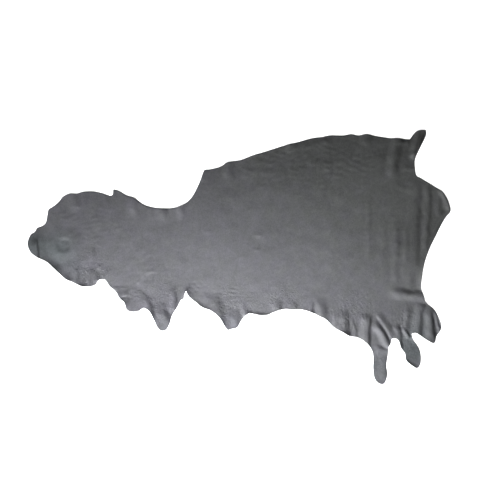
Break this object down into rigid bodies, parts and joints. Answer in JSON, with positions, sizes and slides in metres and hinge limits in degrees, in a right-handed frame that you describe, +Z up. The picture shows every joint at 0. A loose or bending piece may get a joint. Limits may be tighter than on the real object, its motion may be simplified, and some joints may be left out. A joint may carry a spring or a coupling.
{
  "type": "leather hide",
  "caption": "Side of finished dark grey cow leather with a natural outline, laid out grain side up on a surface, with low folds and curled edges.",
  "frame": {"origin": "on the surface that the hide lies on, under the middle of its outline", "axes": "+X from the head end to the rump, +Y towards the backbone edge, +Z up from the surface, out of the grain side"},
  "size_m": [2.4009, 1.4442, 0.0166],
  "materials": {
    "leather": "semi-matt pigmented grain, dark grey"
  },
  "bodies": {
    "root": {"hide": "leather"}
  },
  "joints": []
}
